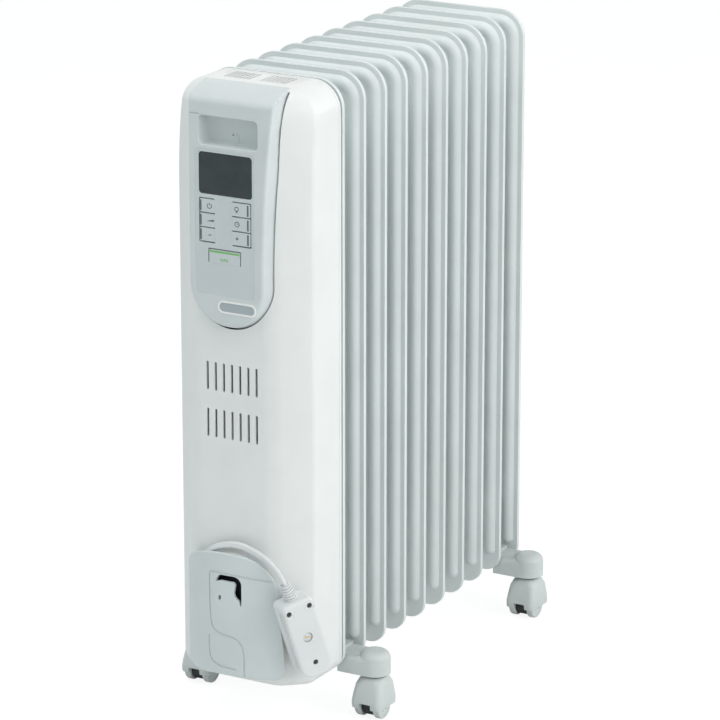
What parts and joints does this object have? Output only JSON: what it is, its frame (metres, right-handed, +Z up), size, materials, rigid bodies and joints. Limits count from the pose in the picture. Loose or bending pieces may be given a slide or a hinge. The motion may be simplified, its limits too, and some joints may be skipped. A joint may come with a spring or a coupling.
{
  "type": "oil filled radiator heater",
  "caption": "Upright oil filled radiator heater with pressed steel fins, a white control housing with keypad and cord storage, and twin-wheel casters.",
  "frame": {"origin": "on the floor under the middle of the heater, without its cord and plug", "axes": "+Z up; +X to the right seen from the front; the control housing faces -Y"},
  "size_m": [0.2336, 0.4908, 0.65],
  "materials": {
    "fin_paint": "semi gloss",
    "white_plastic": "gloss",
    "panel_grey": "satin",
    "grey_plastic": "satin",
    "dark_plastic": "matte",
    "display": "smoked",
    "circuit_board": "matte",
    "cord_white": "satin",
    "plug_white": "satin",
    "lamp_lens": "translucent",
    "steel": "zinc plated",
    "dark_screw": "blackened",
    "sheet_steel": "matte",
    "brass": "plain"
  },
  "bodies": {
    "radiator": {"fin_1": "fin_paint", "fin_2": "fin_paint", "fin_3": "fin_paint", "fin_4": "fin_paint", "fin_5": "fin_paint", "fin_6": "fin_paint", "fin_7": "fin_paint", "fin_8": "fin_paint", "fin_9": "fin_paint", "fin_10": "fin_paint", "heating_element": "steel", "element_flange": "brass", "thermal_cutout": "steel", "back_plate": "sheet_steel", "housing_shell": "white_plastic", "control_bezel": "panel_grey", "display_window": "display", "display_board": "circuit_board", "power_board": "circuit_board", "badge_plate": "white_plastic", "storage_plate": "grey_plastic", "cord_spool": "grey_plastic", "cord_gland": "dark_plastic", "power_cord_winding": "cord_white", "power_cord_lead": "cord_white", "plug_boot": "cord_white", "plug_front_shell": "plug_white", "plug_back_shell": "plug_white", "plug_screws": "dark_screw", "plug_blades": "brass", "plug_lamp_lens": "lamp_lens", "crossbar_front": "white_plastic", "crossbar_rear": "white_plastic", "u_bolts": "steel", "wing_nuts": "steel", "housing_screws": "steel", "storage_screws": "steel"},
    "caster_fl": {"caster_hood_fl": "grey_plastic", "caster_axle_fl": "dark_plastic"},
    "wheel_fl_left": {"wheel_fl_left": "grey_plastic"},
    "wheel_fl_right": {"wheel_fl_right": "grey_plastic"},
    "caster_fr": {"caster_hood_fr": "grey_plastic", "caster_axle_fr": "dark_plastic"},
    "wheel_fr_left": {"wheel_fr_left": "grey_plastic"},
    "wheel_fr_right": {"wheel_fr_right": "grey_plastic"},
    "caster_rl": {"caster_hood_rl": "grey_plastic", "caster_axle_rl": "dark_plastic"},
    "wheel_rl_left": {"wheel_rl_left": "grey_plastic"},
    "wheel_rl_right": {"wheel_rl_right": "grey_plastic"},
    "caster_rr": {"caster_hood_rr": "grey_plastic", "caster_axle_rr": "dark_plastic"},
    "wheel_rr_left": {"wheel_rr_left": "grey_plastic"},
    "wheel_rr_right": {"wheel_rr_right": "grey_plastic"},
    "power_button": {"power_button": "panel_grey"},
    "heat_level_button": {"heat_level_button": "panel_grey"},
    "minus_button": {"minus_button": "panel_grey"},
    "light_button": {"light_button": "panel_grey"},
    "timer_button": {"timer_button": "panel_grey"},
    "plus_button": {"plus_button": "panel_grey"},
    "eco_button": {"eco_button": "panel_grey"}
  },
  "joints": [
    {"name": "caster_fl_swivel", "type": "hinge", "parent": "radiator", "child": "caster_fl", "pos_m": [-0.1, -0.1184, 0.05], "axis": [0, 0, 1], "continuous": true},
    {"name": "wheel_fl_left_spin", "type": "hinge", "parent": "caster_fl", "child": "wheel_fl_left", "pos_m": [-0.1104, -0.1234, 0.013], "axis": [1, 0, 0], "continuous": true},
    {"name": "wheel_fl_right_spin", "type": "hinge", "parent": "caster_fl", "child": "wheel_fl_right", "pos_m": [-0.0896, -0.1234, 0.013], "axis": [1, 0, 0], "continuous": true},
    {"name": "caster_fr_swivel", "type": "hinge", "parent": "radiator", "child": "caster_fr", "pos_m": [0.1, -0.1184, 0.05], "axis": [0, 0, 1], "continuous": true},
    {"name": "wheel_fr_left_spin", "type": "hinge", "parent": "caster_fr", "child": "wheel_fr_left", "pos_m": [0.0896, -0.1234, 0.013], "axis": [1, 0, 0], "continuous": true},
    {"name": "wheel_fr_right_spin", "type": "hinge", "parent": "caster_fr", "child": "wheel_fr_right", "pos_m": [0.1104, -0.1234, 0.013], "axis": [1, 0, 0], "continuous": true},
    {"name": "caster_rl_swivel", "type": "hinge", "parent": "radiator", "child": "caster_rl", "pos_m": [-0.1, 0.2144, 0.05], "axis": [0, 0, 1], "continuous": true},
    {"name": "wheel_rl_left_spin", "type": "hinge", "parent": "caster_rl", "child": "wheel_rl_left", "pos_m": [-0.1104, 0.2094, 0.013], "axis": [1, 0, 0], "continuous": true},
    {"name": "wheel_rl_right_spin", "type": "hinge", "parent": "caster_rl", "child": "wheel_rl_right", "pos_m": [-0.0896, 0.2094, 0.013], "axis": [1, 0, 0], "continuous": true},
    {"name": "caster_rr_swivel", "type": "hinge", "parent": "radiator", "child": "caster_rr", "pos_m": [0.1, 0.2144, 0.05], "axis": [0, 0, 1], "continuous": true},
    {"name": "wheel_rr_left_spin", "type": "hinge", "parent": "caster_rr", "child": "wheel_rr_left", "pos_m": [0.0896, 0.2094, 0.013], "axis": [1, 0, 0], "continuous": true},
    {"name": "wheel_rr_right_spin", "type": "hinge", "parent": "caster_rr", "child": "wheel_rr_right", "pos_m": [0.1104, 0.2094, 0.013], "axis": [1, 0, 0], "continuous": true},
    {"name": "power_button_press", "type": "slide", "parent": "radiator", "child": "power_button", "axis": [0, 1, 0], "range_m": [0, 0.0008], "stiffness_N_per_m": 600, "springref_m": -0.0004},
    {"name": "heat_level_button_press", "type": "slide", "parent": "radiator", "child": "heat_level_button", "axis": [0, 1, 0], "range_m": [0, 0.0008], "stiffness_N_per_m": 600, "springref_m": -0.0004},
    {"name": "minus_button_press", "type": "slide", "parent": "radiator", "child": "minus_button", "axis": [0, 1, 0], "range_m": [0, 0.0008], "stiffness_N_per_m": 600, "springref_m": -0.0004},
    {"name": "light_button_press", "type": "slide", "parent": "radiator", "child": "light_button", "axis": [0, 1, 0], "range_m": [0, 0.0008], "stiffness_N_per_m": 600, "springref_m": -0.0004},
    {"name": "timer_button_press", "type": "slide", "parent": "radiator", "child": "timer_button", "axis": [0, 1, 0], "range_m": [0, 0.0008], "stiffness_N_per_m": 600, "springref_m": -0.0004},
    {"name": "plus_button_press", "type": "slide", "parent": "radiator", "child": "plus_button", "axis": [0, 1, 0], "range_m": [0, 0.0008], "stiffness_N_per_m": 600, "springref_m": -0.0004},
    {"name": "eco_button_press", "type": "slide", "parent": "radiator", "child": "eco_button", "axis": [0, 1, 0], "range_m": [0, 0.0008], "stiffness_N_per_m": 600, "springref_m": -0.0004}
  ]
}
